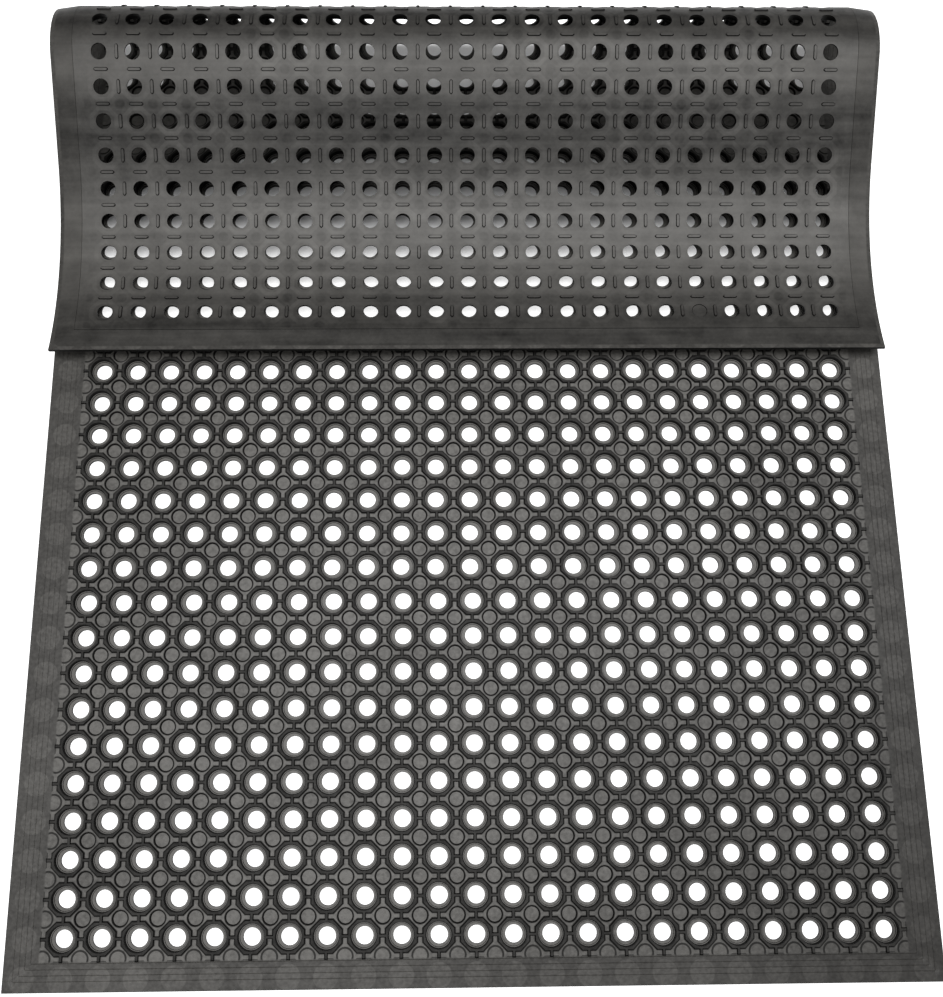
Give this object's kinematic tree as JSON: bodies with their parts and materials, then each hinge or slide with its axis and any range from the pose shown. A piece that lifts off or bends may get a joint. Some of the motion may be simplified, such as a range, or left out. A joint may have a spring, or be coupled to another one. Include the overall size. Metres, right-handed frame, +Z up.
{
  "type": "rubber ring mat",
  "caption": "Moulded rubber drainage mat with a grid of through holes, raised rings on one side, thin bevelled borders, and one end folded back over the rest.",
  "frame": {"origin": "on the floor, below the middle of the part's bounding box", "axes": "+X across the mat's width, +Y along its length towards the fold, +Z up from the floor"},
  "size_m": [0.915, 1.0503, 0.115],
  "materials": {
    "rubber": "matt moulded black rubber"
  },
  "bodies": {
    "root": {"mat_near_panel": "rubber", "mat_far_panel": "rubber", "mat_back_bend": "rubber", "mat_crown": "rubber", "mat_flap": "rubber"}
  },
  "joints": []
}
